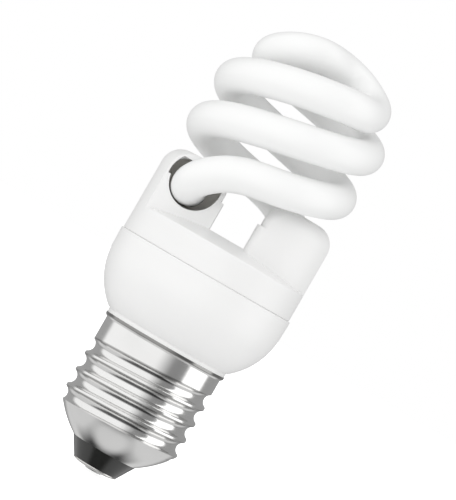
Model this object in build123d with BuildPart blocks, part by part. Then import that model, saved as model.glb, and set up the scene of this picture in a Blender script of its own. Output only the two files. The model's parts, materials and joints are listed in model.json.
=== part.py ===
from build123d import *
import os
from math import asin, atan, cos, degrees, hypot, radians, sin

os.makedirs("parts", exist_ok=True)

# Spiral compact fluorescent lamp with an E27 screw cap. Millimetres and degrees.
# Z runs up the lamp's axis from the tip of the centre contact. The right tower, at +X, has its
# socket towards +Y, and the left one is the same turned half round.

# Cap
thread_pitch = 3.629
thread_crest_radius = 13.1
thread_crest_height = 1.1
crest_round = 0.5
crest_trim = 0.05
crest_lip_angle = 20
groove_rise = 0.45
groove_start_turn = -1700
groove_end_turn = 20
runout_turn = 130
runout_overlap = 4
runout_lift = 0.1
skirt_step = 0.2
skirt_height = 6.05
rim_reach = 0.5
rim_height = 0.5
cap_height = 28.95
cap_wall = 0.35
neck_seat_depth = 3.35
bowl_flattening = 0.1
bowl_bulge = 0.3
inner_bowl_drop = 1.5

# Insulator and contact
contact_radius = 4.8
contact_land_radius = 2.4
contact_rise = 0.95
contact_sheet = 0.35
contact_lift = 0.3
eyelet_radius = 1.9
eyelet_bore = 1.2
eyelet_rise = 0.4
solder_head_inset = 0.05
solder_land_inset = 0.35
solder_plug_depth = 1.9
insulator_top_radius = 7.05
insulator_height = 3.7
mouth_step = 0.55
flange_reach = 2.1
flange_height = 1.2
flange_lift = 1.6

# Lower housing
neck_gap = 0.1
neck_end_gap = 0.7
collar_reach = 0.85
collar_height = 0.95
bowl_foot_reach = 0.3
housing_radius = 19.1
housing_edge_flare = 0.1
housing_height = 16.0
shoulder_depth = 3.45
seam_round = 0.25
housing_wall = 1.3

# Upper cover
cover_setback = 0.25
cover_height = 5.9
cover_edge_round = 0.6
floor_radius = 9.3
floor_rise = 2.1
floor_wall = 1.5
plug_gap = 0.1
plug_root = 0.3
plug_wall = 0.8
plug_depth = 3.45
bead_height = 0.25
bead_depth = 1.8
hook_count = 4
hook_arc = 14
hook_reach = 0.6
hook_height = 0.8
hook_seam_gap = 0.05
stop_width = 1.4
stop_reach = 1.0
stop_turn = 45

# Towers
tower_inner_x = 3.9
tower_step = 0.6
tower_face_y = 8.4
tower_back_y = 10.4
tower_step_height = 7.8
tower_height = 13.55
tower_wall = 1.4
tower_round = 4.2
tower_inner_round = 1.6
socket_shift = 0.6
socket_rise = 1.2
socket_gap = 1.6
socket_relief = 0.6
socket_lead = 1.0

# Glass
tube_radius = 3.65
tube_end_round = 1.6
coil_lead = 20.4
coil_start_rise = 7.7
coil_first_angle = 255
coil_step = 30
crown_rise = 7.55
leg_inset = 4.0
leg_height = 7.25
leg_straight = 4.8
leg_end_y = 2.2
# leg bend: inwards from the leg, out from the tower's face, up from the leg
leg_bend = ((0.0, -0.9, 0.15), (0.7, 2.1, 1.6), (3.8, 4.9, 5.1))
# crown: turn angle, share of the coil's radius, share of the crown's rise
crown_shape = (
    (-52, 0.89, 0.17),
    (-26, 0.80, 0.245),
    (0, 0.75, 0.44),
    (15, 0.67, 0.62),
    (32, 0.493, 0.85),
    (46, 0.263, 0.973),
)
cement_gap = 0.05
cement_drop = 4.9

# Circuit board
board_gap = 0.2
board_thickness = 1.6
lead_radius = 0.3
hole_radius = 0.4
solder_radius = 0.8
solder_tip = 0.35
solder_rise = 0.8
part_gap = 0.4

# Standing parts with a hairpin lead, by their centres on the board
hairpin_span = 2.6
hairpin_drop = 1.2
hairpin_bend = 0.8
body_round = 0.3
diode_places = ((-11.6, 0.4), (-12.2, 4.9), (-10.0, 8.4), (-6.4, 11.4))
diode_turns = (180, 100, 60, 60)
diode_radius = 1.35
diode_length = 5.0
resistor_places = ((-2.4, 12.6), (1.6, 13.6), (13.6, 4.2), (14.0, 0.4))
resistor_turns = (-30, 0, 110, 150)
resistor_radius = 0.9
resistor_end_radius = 1.1
resistor_length = 5.5
diac_place = (-0.9, -3.4)
diac_turn = 90
diac_radius = 0.9
diac_length = 3.6

# Other parts on the board
transistor_places = ((-1.6, -12.4), (4.6, -12.4))
transistor_radius = 2.4
transistor_flat = 1.3
transistor_height = 4.8
transistor_pitch = 1.27
transistor_offset = 1.5
filter_place = (-4.2, 4.4)
filter_radius = 5.0
filter_foot_gap = 0.8
filter_neck = 0.35
filter_neck_depth = 2.4
filter_pitch = 5.0
start_place = (-10.3, -5.3)
start_size = (4.0, 7.5, 8.0)
coupling_place = (-4.6, -6.5)
coupling_size = (3.2, 6.5, 6.0)
film_pitch = 5.0
film_round = 0.8
choke_place = (6.5, -4.5)
choke_width = 11.0
choke_depth = 4.5
choke_height = 10.0
choke_leg = 3.6
choke_yoke = 1.6
bobbin_wall = 0.5
bobbin_gap = 0.1
bobbin_depth = 9.0
bobbin_base_width = 10.0
bobbin_rise = 1.2
bobbin_pins = (8.0, 7.2)
winding_inset = 0.3
winding_round = 1.2
ring_place = (7.3, 7.0)
ring_radius = 4.4
ring_bore = 2.4
ring_height = 4.0
ring_round = 0.4
ring_wire = 0.45
ring_winding_arc = 70
ring_lead_angle = 28
post_radius = 0.45
post_height = 3.4
post_spread = 3.0
post_y = 3.2
filament_radius = 0.25
filament_spread = 1.3
filament_run = 1.7
filament_bend = 0.6
filament_drop = 1.4

# Mains leads
fuse_radius = 1.5
fuse_length = 8.0
fuse_gap = 2.8
fuse_round = 0.4
sleeve_gap = 0.05
sleeve_wall = 0.35
sleeve_overlap = 1.5
lead_cover_radius = 0.6
lead_strip = 1.0
live_hole = (-1.0, -6.6)
live_rise = 4.0
neutral_hole = (-7.4, -10.9)
neutral_gap = 0.15
neutral_rise = 4.0
neutral_bend = 0.6
lead_bend = 1.5

# Sizes that follow from the ones above: the cap
insulator_top_z = contact_rise + insulator_height
shell_mouth_radius = insulator_top_radius - mouth_step
flange_radius = shell_mouth_radius + flange_reach
flange_bottom_z = insulator_top_z + cap_wall + flange_lift
flange_top_z = flange_bottom_z + flange_height
eyelet_top_z = flange_top_z + eyelet_rise
solder_head_radius = eyelet_radius - solder_head_inset
solder_land_radius = solder_head_radius - solder_land_inset
solder_plug_z = contact_lift + solder_plug_depth
fuse_z = eyelet_top_z + fuse_gap
groove_root_radius = thread_crest_radius - thread_crest_height
thread_bore = groove_root_radius - cap_wall
skirt_radius = thread_crest_radius - skirt_step
skirt_bore = skirt_radius - cap_wall
rim_radius = skirt_radius + rim_reach
skirt_foot_z = cap_height - skirt_height
groove_top_z = skirt_foot_z + groove_rise
neck_seat_z = cap_height - neck_seat_depth
bowl_top_z = insulator_top_z + thread_crest_radius - insulator_top_radius - bowl_flattening
inner_bowl_top_z = bowl_top_z - inner_bowl_drop

# The lower housing, seated in the cap
neck_radius = skirt_bore - neck_gap
neck_bore = neck_radius - housing_wall
neck_bottom_z = neck_seat_z + neck_end_gap
neutral_radius = neck_bore - lead_cover_radius - neutral_gap
collar_radius = neck_radius + collar_reach
collar_top_z = cap_height + collar_height
bowl_foot_radius = collar_radius + bowl_foot_reach
seam_z = cap_height + housing_height
housing_shoulder_z = seam_z - shoulder_depth
housing_bore = housing_radius - housing_wall
housing_edge_radius = housing_radius + housing_edge_flare

# The cover on the housing, and the board on the cover's hooks
cover_radius = housing_radius - cover_setback
plug_radius = housing_bore - plug_gap
plug_bore = plug_radius - plug_wall
plug_bottom_z = seam_z - plug_depth
bead_z = seam_z - bead_depth
cover_bore = plug_radius - plug_root
cover_mid_radius = (cover_bore + cover_radius) / 2
cover_edge_z = seam_z + cover_height
floor_z = cover_edge_z + floor_rise
floor_bottom_z = floor_z - floor_wall
board_radius = plug_bore - board_gap
board_z = seam_z + hook_seam_gap + 2 * hook_height
board_top_z = board_z + board_thickness
body_top_z = board_z - part_gap
filter_length = body_top_z - collar_top_z - filter_foot_gap

# The towers on the cover, and the glass between them
tower_bottom_z = cover_edge_z - floor_wall
tower_step_z = cover_edge_z + tower_step_height
tower_top_z = cover_edge_z + tower_height
hollow_top_z = tower_top_z - tower_wall
coil_radius = cover_radius - tube_radius
leg_x = coil_radius - leg_inset
leg_z = cover_edge_z + leg_height
socket_x = leg_x - socket_shift
socket_z = leg_z + socket_rise
socket_radius = tube_radius + socket_gap
cement_bottom_z = leg_z - cement_drop
coil_start_z = leg_z + coil_start_rise
crown_z = coil_start_z + coil_lead


def turned(piece, angle=180):
    # the same piece turned about the lamp's axis
    return piece.rotate(Axis.Z, angle)


def wire(points, radius, bend):
    # round wire along straight runs joined by arcs
    with BuildPart() as run:
        with BuildLine() as path:
            FilletPolyline(*points, radius=bend)
        with BuildSketch(Plane(origin=path.line @ 0, z_dir=path.line % 0)):
            Circle(radius)
        sweep(path=path.line)
    return run.part


def across(place, spacing, angle=0):
    # two points side by side about a place on the board
    reach_x = spacing / 2 * cos(radians(angle))
    reach_y = spacing / 2 * sin(radians(angle))
    return (place[0] - reach_x, place[1] - reach_y), (place[0] + reach_x, place[1] + reach_y)


# Thread groove: a round root with a round crest each side, closed outside the sheet
wave_height = thread_crest_height + crest_trim
flank_angle = 2 * atan(2 * wave_height / thread_pitch)
root_round = thread_pitch / 2 / sin(flank_angle) - crest_round
root_end_x = root_round * (1 - cos(flank_angle))
root_end_y = root_round * sin(flank_angle)
lip_x = wave_height - crest_round * (1 - cos(radians(crest_lip_angle)))
lip_y = thread_pitch / 2 - crest_round * sin(radians(crest_lip_angle))
outside_x = wave_height + crest_round


def thread_groove(path, start_turn):
    # the groove along a helix that starts at +X, then turned to its place
    with BuildPart() as groove:
        with BuildSketch(Plane(origin=path @ 0, x_dir=(1, 0, 0), z_dir=path % 0)):
            with BuildLine():
                ThreePointArc((root_end_x, -root_end_y), (0, 0), (root_end_x, root_end_y))
                for side in (1, -1):
                    TangentArc(
                        (root_end_x, side * root_end_y),
                        (lip_x, side * lip_y),
                        tangent=(sin(flank_angle), side * cos(flank_angle)),
                    )
                Polyline((lip_x, lip_y), (outside_x, lip_y), (outside_x, -lip_y), (lip_x, -lip_y))
            make_face()
        sweep(path=path, is_frenet=True)
    return turned(groove.part, start_turn)


def groove_stretch(from_turn, to_turn):
    # one stretch of the full groove
    path = Helix(
        pitch=thread_pitch,
        height=thread_pitch * (to_turn - from_turn) / 360,
        radius=groove_root_radius,
        center=(0, 0, groove_top_z + thread_pitch * from_turn / 360),
    )
    return thread_groove(path, from_turn)


def groove_runout():
    # the groove climbs out of the sheet at the back of the skirt, from just above the full root
    start_turn = groove_end_turn - runout_overlap
    height = thread_pitch * runout_turn / 360
    cone = degrees(atan((thread_crest_height + crest_round) / height))
    path = Helix(
        pitch=thread_pitch / cos(radians(cone)),
        height=height,
        radius=groove_root_radius + runout_lift,
        center=(0, 0, groove_top_z + thread_pitch * start_turn / 360),
        cone_angle=cone,
    )
    return thread_groove(path, start_turn)


# Screw shell: sheet with a bowl at its foot, a skirt and a flared rim
bowl_middle_z = (insulator_top_z + bowl_top_z) / 2
groove_turns = range(groove_start_turn, groove_end_turn, 360)
groove_parts = [groove_stretch(turn, min(turn + 360, groove_end_turn)) for turn in groove_turns]
groove_parts.append(groove_runout())
with BuildPart() as screw_shell:
    with BuildSketch(Plane.XZ):
        with BuildLine():
            bowl = ThreePointArc(
                (insulator_top_radius, insulator_top_z),
                ((insulator_top_radius + thread_crest_radius) / 2 + bowl_bulge, bowl_middle_z - bowl_bulge),
                (thread_crest_radius, bowl_top_z),
            )
            Polyline(
                bowl @ 1,
                (thread_crest_radius, skirt_foot_z),
                (skirt_radius, skirt_foot_z),
                (skirt_radius, cap_height - 2 * rim_height),
                (rim_radius, cap_height - rim_height),
                (rim_radius, cap_height),
                (skirt_bore, cap_height),
                (skirt_bore, neck_seat_z),
                (thread_bore, neck_seat_z),
                (thread_bore, inner_bowl_top_z),
            )
            inner_bowl = ThreePointArc(
                (thread_bore, inner_bowl_top_z),
                ((shell_mouth_radius + thread_bore) / 2 + bowl_bulge, bowl_middle_z - 2 * bowl_bulge),
                (shell_mouth_radius, insulator_top_z + cap_wall),
            )
            Polyline(inner_bowl @ 1, (shell_mouth_radius, insulator_top_z), bowl @ 0)
        make_face()
    revolve(axis=Axis.Z)
    for groove_part in groove_parts:
        add(groove_part, mode=Mode.SUBTRACT)
screw_shell.part.label = "screw_shell"
export_step(screw_shell.part, "parts/screw_shell.step")

# Insulator: a cone below the shell's mouth, cast through it, with a flange inside
with BuildPart() as cap_insulator:
    with BuildSketch(Plane.XZ):
        with BuildLine():
            Polyline(
                (eyelet_radius, contact_rise),
                (contact_radius, contact_rise),
                (insulator_top_radius, insulator_top_z),
                (shell_mouth_radius, insulator_top_z),
                (shell_mouth_radius, insulator_top_z + cap_wall),
                (flange_radius, flange_bottom_z),
                (flange_radius, flange_top_z),
                (eyelet_radius, flange_top_z),
                close=True,
            )
        make_face()
    revolve(axis=Axis.Z)
cap_insulator.part.label = "cap_insulator"
export_step(cap_insulator.part, "parts/cap_insulator.step")

# Centre contact: a domed disc with an eyelet up through the insulator
with BuildPart() as centre_contact:
    with BuildSketch(Plane.XZ):
        with BuildLine():
            dome = ThreePointArc(
                (contact_land_radius, contact_lift),
                ((contact_land_radius + contact_radius) / 2, contact_lift + contact_sheet / 3),
                (contact_radius, contact_rise - contact_sheet / 2),
            )
            Polyline(
                dome @ 1,
                (contact_radius, contact_rise),
                (eyelet_radius, contact_rise),
                (eyelet_radius, eyelet_top_z),
                (eyelet_bore, eyelet_top_z),
                (eyelet_bore, contact_lift),
                dome @ 0,
            )
        make_face()
    revolve(axis=Axis.Z)
centre_contact.part.label = "centre_contact"
export_step(centre_contact.part, "parts/centre_contact.step")

# Solder in the eyelet, with a low head that is the lamp's tip
with BuildPart() as contact_solder:
    with BuildSketch(Plane.XZ):
        with BuildLine():
            Polyline(
                (solder_head_radius, contact_lift),
                (eyelet_bore, contact_lift),
                (eyelet_bore, solder_plug_z),
                (0, solder_plug_z),
                (0, 0),
                (solder_land_radius, 0),
            )
            TangentArc((solder_land_radius, 0), (solder_head_radius, contact_lift), tangent=(1, 0))
        make_face()
    revolve(axis=Axis.Z)
contact_solder.part.label = "contact_solder"
export_step(contact_solder.part, "parts/contact_solder.step")

# Lower housing: a bowl on a neck that goes into the screw shell
with BuildPart() as lower_housing:
    with BuildSketch(Plane.XZ):
        with BuildLine():
            outer_bowl = TangentArc(
                (housing_radius, housing_shoulder_z), (bowl_foot_radius, collar_top_z), tangent=(0, -1)
            )
            inner_bowl = TangentArc(
                (housing_bore, housing_shoulder_z), (neck_bore, collar_top_z), tangent=(0, -1)
            )
            Polyline(
                outer_bowl @ 1,
                (collar_radius, collar_top_z),
                (collar_radius, cap_height),
                (neck_radius, cap_height),
                (neck_radius, neck_bottom_z),
                (neck_bore, neck_bottom_z),
                inner_bowl @ 1,
            )
            Polyline(
                inner_bowl @ 0,
                (housing_bore, bead_z - 2 * bead_height),
                (housing_bore + bead_height, bead_z - bead_height),
                (housing_bore + bead_height, bead_z + bead_height),
                (housing_bore, bead_z + 2 * bead_height),
                (housing_bore, seam_z),
                (housing_edge_radius, seam_z),
                outer_bowl @ 0,
            )
        make_face()
    revolve(axis=Axis.Z)
    top_edges = lower_housing.edges().filter_by(GeomType.CIRCLE).group_by(Axis.Z)[-1]
    fillet(top_edges.sort_by(SortBy.RADIUS)[-1], seam_round)
lower_housing.part.label = "lower_housing"
export_step(lower_housing.part, "parts/lower_housing.step")


def tower_plan(inset, inner_x, corner):
    # plan of the right tower, drawn inwards from the cover's side by the inset
    face_angle = degrees(asin(tower_face_y / cover_radius))
    with BuildSketch() as plan:
        with BuildLine():
            back = TangentArc((tower_inner_x, -tower_back_y), (cover_radius, 0), tangent=(1, 0))
            side = CenterArc((0, 0), cover_radius, 0, face_angle)
            Polyline(side @ 1, (tower_inner_x, tower_face_y), back @ 0)
        make_face()
        if inset:
            offset(amount=-inset)
        with Locations((inner_x - cover_radius, 0)):
            Rectangle(2 * cover_radius, 4 * cover_radius, mode=Mode.SUBTRACT)
        fillet(plan.vertices().group_by(Axis.Y)[0].sort_by(Axis.X)[0], corner)
    return plan.sketch


def tower_block(inset, inner_x, top_z, top_round):
    # the plan raised to the top and rounded there, apart from the edge at the socket's face
    with BuildPart() as block:
        with BuildSketch(Plane.XY.offset(tower_bottom_z)):
            add(tower_plan(inset, inner_x, tower_inner_round - inset / 2))
        extrude(amount=top_z - tower_bottom_z)
        if top_round:
            top_edges = block.faces().sort_by(Axis.Z)[-1].edges()
            fillet(top_edges.filter_by(GeomType.CIRCLE).sort_by(Axis.X)[-2:], top_round)
    return block.part


# Tower pieces: the foot below the parting step, the narrower head above it, and the hollow inside
tower_foot = tower_block(0, tower_inner_x, tower_step_z, 0)
tower_head = tower_block(0, tower_inner_x + tower_step, tower_top_z, tower_round)
tower_hollow = tower_block(tower_wall, tower_inner_x + tower_wall, hollow_top_z, tower_round - tower_wall)

# Socket in the tower's face, wider above the parting step and flat under the top wall
socket_mask = 4 * socket_radius
with BuildPart() as socket_cut:
    with BuildSketch(Plane((0, tower_face_y + socket_lead, 0), x_dir=(1, 0, 0), z_dir=(0, -1, 0))):
        with Locations((socket_x, socket_z)):
            Circle(socket_radius + socket_relief)
        with Locations((socket_x, tower_step_z)):
            Rectangle(socket_mask, socket_mask, align=(Align.CENTER, Align.MAX), mode=Mode.SUBTRACT)
        with Locations((socket_x, socket_z)):
            Circle(socket_radius)
        with Locations((socket_x, hollow_top_z)):
            Rectangle(socket_mask, socket_mask, align=(Align.CENTER, Align.MIN), mode=Mode.SUBTRACT)
        with Locations((tower_inner_x + tower_wall, socket_z)):
            Rectangle(socket_mask, socket_mask, align=(Align.MAX, Align.CENTER), mode=Mode.SUBTRACT)
    extrude(amount=tower_wall + 2 * socket_lead)

# Hook under the board's edge, and a stop above it
with BuildPart() as board_hook:
    with BuildSketch(Plane.XZ):
        with BuildLine():
            Polyline(
                (cover_mid_radius, board_z - 2 * hook_height),
                (cover_bore, board_z - 2 * hook_height),
                (board_radius - hook_reach, board_z - hook_height),
                (board_radius - hook_reach, board_z),
                (cover_mid_radius, board_z),
                close=True,
            )
        make_face()
    revolve(axis=Axis.Z, revolution_arc=hook_arc)
with BuildPart(Location((board_radius - stop_reach, 0, board_top_z))) as stop_rib:
    Box(
        cover_mid_radius - board_radius + stop_reach,
        stop_width,
        cover_edge_z - floor_wall / 2 - board_top_z,
        align=(Align.MIN, Align.CENTER, Align.MIN),
    )
board_stop = stop_rib.part

# Upper cover: wall and plug, coned floor, two towers, board hooks and stops
with BuildPart() as upper_cover:
    with BuildSketch(Plane.XZ):
        with BuildLine():
            Polyline(
                (plug_bore, plug_bottom_z),
                (plug_radius, plug_bottom_z),
                (plug_radius, bead_z - bead_height),
                (plug_radius + bead_height, bead_z),
                (plug_radius, bead_z + bead_height),
                (plug_radius, seam_z),
                (cover_radius, seam_z),
                (cover_radius, cover_edge_z),
                (floor_radius, floor_z),
                (0, floor_z),
                (0, floor_bottom_z),
                (floor_radius, floor_bottom_z),
                (cover_bore, cover_edge_z - floor_wall),
                (cover_bore, seam_z),
                (plug_bore, seam_z),
                close=True,
            )
        make_face()
    revolve(axis=Axis.Z)
    circles = upper_cover.edges().filter_by(GeomType.CIRCLE)
    outside = circles.filter_by(lambda edge: abs(edge.radius - cover_radius) < seam_round / 2)
    fillet(outside.sort_by(Axis.Z)[-1], cover_edge_round)
    fillet(outside.sort_by(Axis.Z)[0], seam_round)
    for angle in (0, 180):
        add(turned(tower_foot, angle))
        add(turned(tower_head, angle))
    for angle in (0, 180):
        add(turned(tower_hollow, angle), mode=Mode.SUBTRACT)
        add(turned(socket_cut.part, angle), mode=Mode.SUBTRACT)
    for angle in range(0, 360, 360 // hook_count):
        add(turned(board_hook.part, angle))
        add(turned(board_stop, angle + stop_turn))
upper_cover.part.label = "upper_cover"
export_step(upper_cover.part, "parts/upper_cover.step")

# Glass tube: a straight end in each tower, a bend up to the coil, two strands and the crown
leg_start = (-leg_x, leg_end_y - leg_straight, leg_z)
bend_points = [(inwards - leg_x, -tower_face_y - out, leg_z + up) for inwards, out, up in leg_bend]
coil_points = [
    (
        coil_radius * cos(radians(angle)),
        coil_radius * sin(radians(angle)),
        coil_start_z + coil_lead * (angle - 270) / 360,
    )
    for angle in range(coil_first_angle, 270 + 360, coil_step)
]
crown_points = [
    (
        coil_radius * share * cos(radians(angle)),
        coil_radius * share * sin(radians(angle)),
        crown_z + crown_rise * rise,
    )
    for angle, share, rise in crown_shape
]
first_strand = [leg_start, *bend_points, *coil_points, *crown_points]
second_strand = [(-x, -y, z) for x, y, z in reversed(first_strand)]
with BuildPart() as spiral_tube:
    with BuildLine() as tube_path:
        Spline(
            *first_strand,
            (0, 0, crown_z + crown_rise),
            *second_strand,
            tangents=[(0, -1, 0), (0, -1, 0)],
            tangent_scalars=[1, 1],
        )
    with BuildSketch(Plane(origin=leg_start, z_dir=(0, -1, 0))):
        Circle(tube_radius)
    sweep(path=tube_path.line)
    for sign in (1, -1):
        with Locations((sign * leg_x, -sign * leg_end_y, leg_z)):
            Cylinder(
                tube_radius,
                leg_straight,
                rotation=(-sign * 90, 0, 0),
                align=(Align.CENTER, Align.CENTER, Align.MIN),
            )
    fillet(spiral_tube.faces().filter_by(GeomType.PLANE).edges(), tube_end_round)
spiral_tube.part.label = "spiral_tube"
export_step(spiral_tube.part, "parts/spiral_tube.step")

# Cement in each tower: the hollow's shape round the tube's end
cement_inset = tower_wall + cement_gap
cement_block = tower_block(
    cement_inset,
    tower_inner_x + cement_inset,
    hollow_top_z - cement_gap,
    tower_round - cement_inset,
)
with BuildPart() as tube_cement_right:
    add(cement_block)
    with Locations((0, 0, cement_bottom_z)):
        Box(
            4 * cover_radius,
            2 * leg_end_y,
            2 * tower_top_z,
            align=(Align.CENTER, Align.CENTER, Align.MIN),
            mode=Mode.INTERSECT,
        )
    with Locations((leg_x, 0, leg_z)):
        Cylinder(tube_radius, 4 * leg_end_y, rotation=(90, 0, 0), mode=Mode.SUBTRACT)
tube_cement_right.part.label = "tube_cement_right"
export_step(tube_cement_right.part, "parts/tube_cement_right.step")

with BuildPart() as tube_cement_left:
    add(turned(tube_cement_right.part))
tube_cement_left.part.label = "tube_cement_left"
export_step(tube_cement_left.part, "parts/tube_cement_left.step")


# Places of the leads in the board
def hairpin_end(place, direction):
    # where a standing part's second lead goes through the board
    return (
        place[0] + hairpin_span * cos(radians(direction)),
        place[1] + hairpin_span * sin(radians(direction)),
    )


transistor_leads = [(-transistor_pitch, 0), (0, -transistor_offset), (transistor_pitch, 0)]
ring_leads = [
    (
        ring_place[0] + (ring_radius + ring_bore) / 2 * cos(radians(angle + side)),
        ring_place[1] + (ring_radius + ring_bore) / 2 * sin(radians(angle + side)),
    )
    for angle in range(90, 450, 120)
    for side in (-ring_lead_angle, ring_lead_angle)
]
choke_pins = [
    (choke_place[0] + sign_x * bobbin_pins[0] / 2, choke_place[1] + sign_y * bobbin_pins[1] / 2)
    for sign_x in (-1, 1)
    for sign_y in (-1, 1)
]
lead_holes = [*ring_leads, *choke_pins, live_hole, neutral_hole]
for place, direction in zip(
    (*diode_places, *resistor_places, diac_place), (*diode_turns, *resistor_turns, diac_turn)
):
    lead_holes += [place, hairpin_end(place, direction)]
for place, pitch in ((filter_place, filter_pitch), (start_place, film_pitch), (coupling_place, film_pitch)):
    lead_holes += across(place, pitch, 90)
for place in transistor_places:
    lead_holes += [(place[0] + x, place[1] + y) for x, y in transistor_leads]
post_places = [
    (side * (leg_x + step), -side * post_y) for side in (1, -1) for step in (-post_spread, post_spread)
]

# Circuit board: a disc with a hole for each lead and each wire post
with BuildPart() as circuit_board:
    with BuildSketch(Plane.XY.offset(board_z)):
        Circle(board_radius)
        with Locations(*lead_holes):
            Circle(hole_radius, mode=Mode.SUBTRACT)
        with Locations(*post_places):
            Circle(post_radius, mode=Mode.SUBTRACT)
    extrude(amount=board_thickness)
circuit_board.part.label = "circuit_board"
export_step(circuit_board.part, "parts/circuit_board.step")

# Solder on the board's copper side, one cone on each lead
with BuildPart() as solder_joints:
    with Locations(*[(x, y, board_top_z) for x, y in lead_holes]):
        Cone(solder_radius, solder_tip, solder_rise, align=(Align.CENTER, Align.CENTER, Align.MIN))
solder_joints.part.label = "solder_joints"
export_step(solder_joints.part, "parts/solder_joints.step")


def standing_part(place, direction, radius, length, end_radius):
    # body on end below the board, one lead straight up and one bent back beside it
    body_z = body_top_z - length
    second = hairpin_end(place, direction)
    loop = wire(
        [
            (*place, body_z),
            (*place, body_z - hairpin_drop),
            (*second, body_z - hairpin_drop),
            (*second, board_top_z),
        ],
        lead_radius,
        hairpin_bend,
    )
    with BuildPart(Location((*place, body_z))) as piece:
        Cylinder(radius, length, align=(Align.CENTER, Align.CENTER, Align.MIN))
        if end_radius > radius:
            for end_z in (0, length - end_radius):
                with Locations((0, 0, end_z)):
                    Cylinder(end_radius, end_radius, align=(Align.CENTER, Align.CENTER, Align.MIN))
        rims = piece.edges().filter_by(GeomType.CIRCLE).group_by(Axis.Z)
        fillet([*rims[0], *rims[-1]], body_round)
        with Locations((0, 0, length)):
            Cylinder(lead_radius, board_top_z - body_top_z, align=(Align.CENTER, Align.CENTER, Align.MIN))
    with BuildPart() as whole:
        add(piece.part)
        add(loop)
    return whole.part


diodes = [
    standing_part(place, direction, diode_radius, diode_length, 0)
    for place, direction in zip(diode_places, diode_turns)
]
resistors = [
    standing_part(place, direction, resistor_radius, resistor_length, resistor_end_radius)
    for place, direction in zip(resistor_places, resistor_turns)
]
diac_piece = standing_part(diac_place, diac_turn, diac_radius, diac_length, 0)

# Rectifier diodes, resistors and diac
with BuildPart() as rectifier_diode_1:
    add(diodes[0])
rectifier_diode_1.part.label = "rectifier_diode_1"
export_step(rectifier_diode_1.part, "parts/rectifier_diode_1.step")

with BuildPart() as rectifier_diode_2:
    add(diodes[1])
rectifier_diode_2.part.label = "rectifier_diode_2"
export_step(rectifier_diode_2.part, "parts/rectifier_diode_2.step")

with BuildPart() as rectifier_diode_3:
    add(diodes[2])
rectifier_diode_3.part.label = "rectifier_diode_3"
export_step(rectifier_diode_3.part, "parts/rectifier_diode_3.step")

with BuildPart() as rectifier_diode_4:
    add(diodes[3])
rectifier_diode_4.part.label = "rectifier_diode_4"
export_step(rectifier_diode_4.part, "parts/rectifier_diode_4.step")

with BuildPart() as resistor_1:
    add(resistors[0])
resistor_1.part.label = "resistor_1"
export_step(resistor_1.part, "parts/resistor_1.step")

with BuildPart() as resistor_2:
    add(resistors[1])
resistor_2.part.label = "resistor_2"
export_step(resistor_2.part, "parts/resistor_2.step")

with BuildPart() as resistor_3:
    add(resistors[2])
resistor_3.part.label = "resistor_3"
export_step(resistor_3.part, "parts/resistor_3.step")

with BuildPart() as resistor_4:
    add(resistors[3])
resistor_4.part.label = "resistor_4"
export_step(resistor_4.part, "parts/resistor_4.step")

with BuildPart() as diac:
    add(diac_piece)
diac.part.label = "diac"
export_step(diac.part, "parts/diac.step")

# Transistor: a round moulding with a flat on its inner side, and three leads
with BuildPart() as transistor_form:
    with BuildSketch():
        Circle(transistor_radius)
        with Locations((0, transistor_flat)):
            Rectangle(
                2 * transistor_radius,
                2 * transistor_radius,
                align=(Align.CENTER, Align.MIN),
                mode=Mode.SUBTRACT,
            )
    extrude(amount=-transistor_height)
    fillet(transistor_form.edges().filter_by(Axis.Z), body_round)
    with BuildSketch():
        with Locations(*transistor_leads):
            Circle(lead_radius)
    extrude(amount=board_top_z - body_top_z)

with BuildPart() as transistor_1:
    with Locations((*transistor_places[0], body_top_z)):
        add(transistor_form.part)
transistor_1.part.label = "transistor_1"
export_step(transistor_1.part, "parts/transistor_1.step")

with BuildPart() as transistor_2:
    with Locations((*transistor_places[1], body_top_z)):
        add(transistor_form.part)
transistor_2.part.label = "transistor_2"
export_step(transistor_2.part, "parts/transistor_2.step")

# Filter capacitor: a can crimped round its rubber end, hanging down the neck
with BuildPart(Location((*filter_place, body_top_z))) as filter_capacitor:
    Cylinder(filter_radius, filter_length, align=(Align.CENTER, Align.CENTER, Align.MAX))
    rims = filter_capacitor.edges().filter_by(GeomType.CIRCLE)
    fillet(rims, body_round)
    with Locations((0, 0, -filter_neck_depth)):
        Torus(filter_radius + filter_neck, 2 * filter_neck, mode=Mode.SUBTRACT)
    for lead_y in (-filter_pitch / 2, filter_pitch / 2):
        with Locations((0, lead_y, 0)):
            Cylinder(lead_radius, board_top_z - body_top_z, align=(Align.CENTER, Align.CENTER, Align.MIN))
filter_capacitor.part.label = "filter_capacitor"
export_step(filter_capacitor.part, "parts/filter_capacitor.step")


def film_capacitor(place, size):
    # dipped block with rounded edges on two leads
    with BuildPart(Location((*place, body_top_z))) as piece:
        Box(*size, align=(Align.CENTER, Align.CENTER, Align.MAX))
        fillet(piece.edges(), film_round)
        for lead_y in (-film_pitch / 2, film_pitch / 2):
            with Locations((0, lead_y, -film_round)):
                Cylinder(
                    lead_radius,
                    board_top_z - body_top_z + film_round,
                    align=(Align.CENTER, Align.CENTER, Align.MIN),
                )
    return piece.part


start_piece = film_capacitor(start_place, start_size)
coupling_piece = film_capacitor(coupling_place, coupling_size)
with BuildPart() as start_capacitor:
    add(start_piece)
start_capacitor.part.label = "start_capacitor"
export_step(start_capacitor.part, "parts/start_capacitor.step")

with BuildPart() as coupling_capacitor:
    add(coupling_piece)
coupling_capacitor.part.label = "coupling_capacitor"
export_step(coupling_capacitor.part, "parts/coupling_capacitor.step")

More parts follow.
